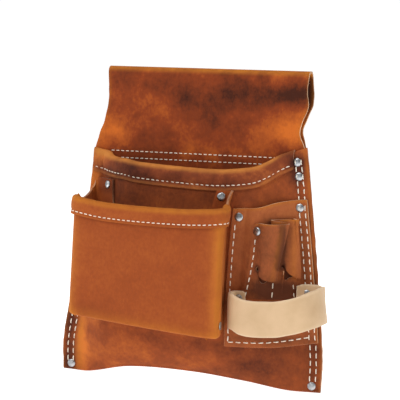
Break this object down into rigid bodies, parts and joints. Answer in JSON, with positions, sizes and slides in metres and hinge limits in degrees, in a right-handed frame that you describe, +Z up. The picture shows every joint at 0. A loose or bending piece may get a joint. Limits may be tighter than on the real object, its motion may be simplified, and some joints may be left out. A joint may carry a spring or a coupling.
{
  "type": "electrician tool pouch",
  "caption": "Suede leather belt pouch with a large bellows pocket, a box nail pocket, a flat tool pocket with two sleeves and a pale hammer loop.",
  "frame": {"origin": "middle of the belt tunnel's inner top, where the belt's upper edge bears", "axes": "+Z up, +X to the right as seen from the front, -Y out of the front of the pouch, away from the wearer"},
  "size_m": [0.3064, 0.0985, 0.3424],
  "materials": {
    "panel_suede": "napped suede, oiled",
    "pocket_suede": "napped suede, oiled, darker",
    "strap_hide": "smooth undyed hide",
    "thread": "twisted off-white thread",
    "nickel": "nickel plate"
  },
  "bodies": {
    "tunnel": {"belt_tunnel": "panel_suede"},
    "pouch": {"back_panel": "panel_suede", "corner_rivet_left": "nickel", "corner_rivet_right": "nickel", "hammer_tab_left": "strap_hide", "hammer_tab_right": "strap_hide", "main_hem": "panel_suede", "main_pocket": "pocket_suede", "nail_hem": "panel_suede", "nail_pocket": "panel_suede", "nail_rivet_left_low": "nickel", "nail_rivet_left_top": "nickel", "nail_rivet_right_low": "nickel", "nail_rivet_right_top": "nickel", "seam_rivet_right_top": "nickel", "seam_rivet_right_upper": "nickel", "sleeve_rivet": "nickel", "strap_rivet_left": "nickel", "strap_rivet_right": "nickel", "thread_main_hem": "thread", "thread_nail_hem": "thread", "thread_seam_left_inner": "thread", "thread_seam_left_outer": "thread", "thread_seam_right_inner": "thread", "thread_seam_right_outer": "thread", "thread_sleeve_left": "thread", "thread_sleeve_middle": "thread", "thread_sleeve_right": "thread", "thread_tool_bottom": "thread", "thread_tool_left": "thread", "thread_tool_right_inner": "thread", "thread_tool_right_outer": "thread", "thread_tunnel_lower": "thread", "thread_tunnel_upper": "thread", "tool_pocket": "pocket_suede", "tool_pocket_rivet_left": "nickel", "tool_pocket_rivet_right": "nickel", "tool_sleeves": "pocket_suede", "tunnel_end": "panel_suede"},
    "hammer_loop": {"hammer_loop": "strap_hide"}
  },
  "joints": [
    {"name": "belt_flex", "type": "hinge", "parent": "tunnel", "child": "pouch", "pos_m": [0, -0.0089, -0.0766], "axis": [-1, 0, 0], "range_deg": [0, 35]},
    {"name": "hammer_loop_tilt", "type": "hinge", "parent": "pouch", "child": "hammer_loop", "pos_m": [0.05, -0.0521, -0.2496], "axis": [0.9683, 0.2209, 0.1168], "range_deg": [-14, 14], "stiffness_Nm_per_rad": 0.3}
  ]
}
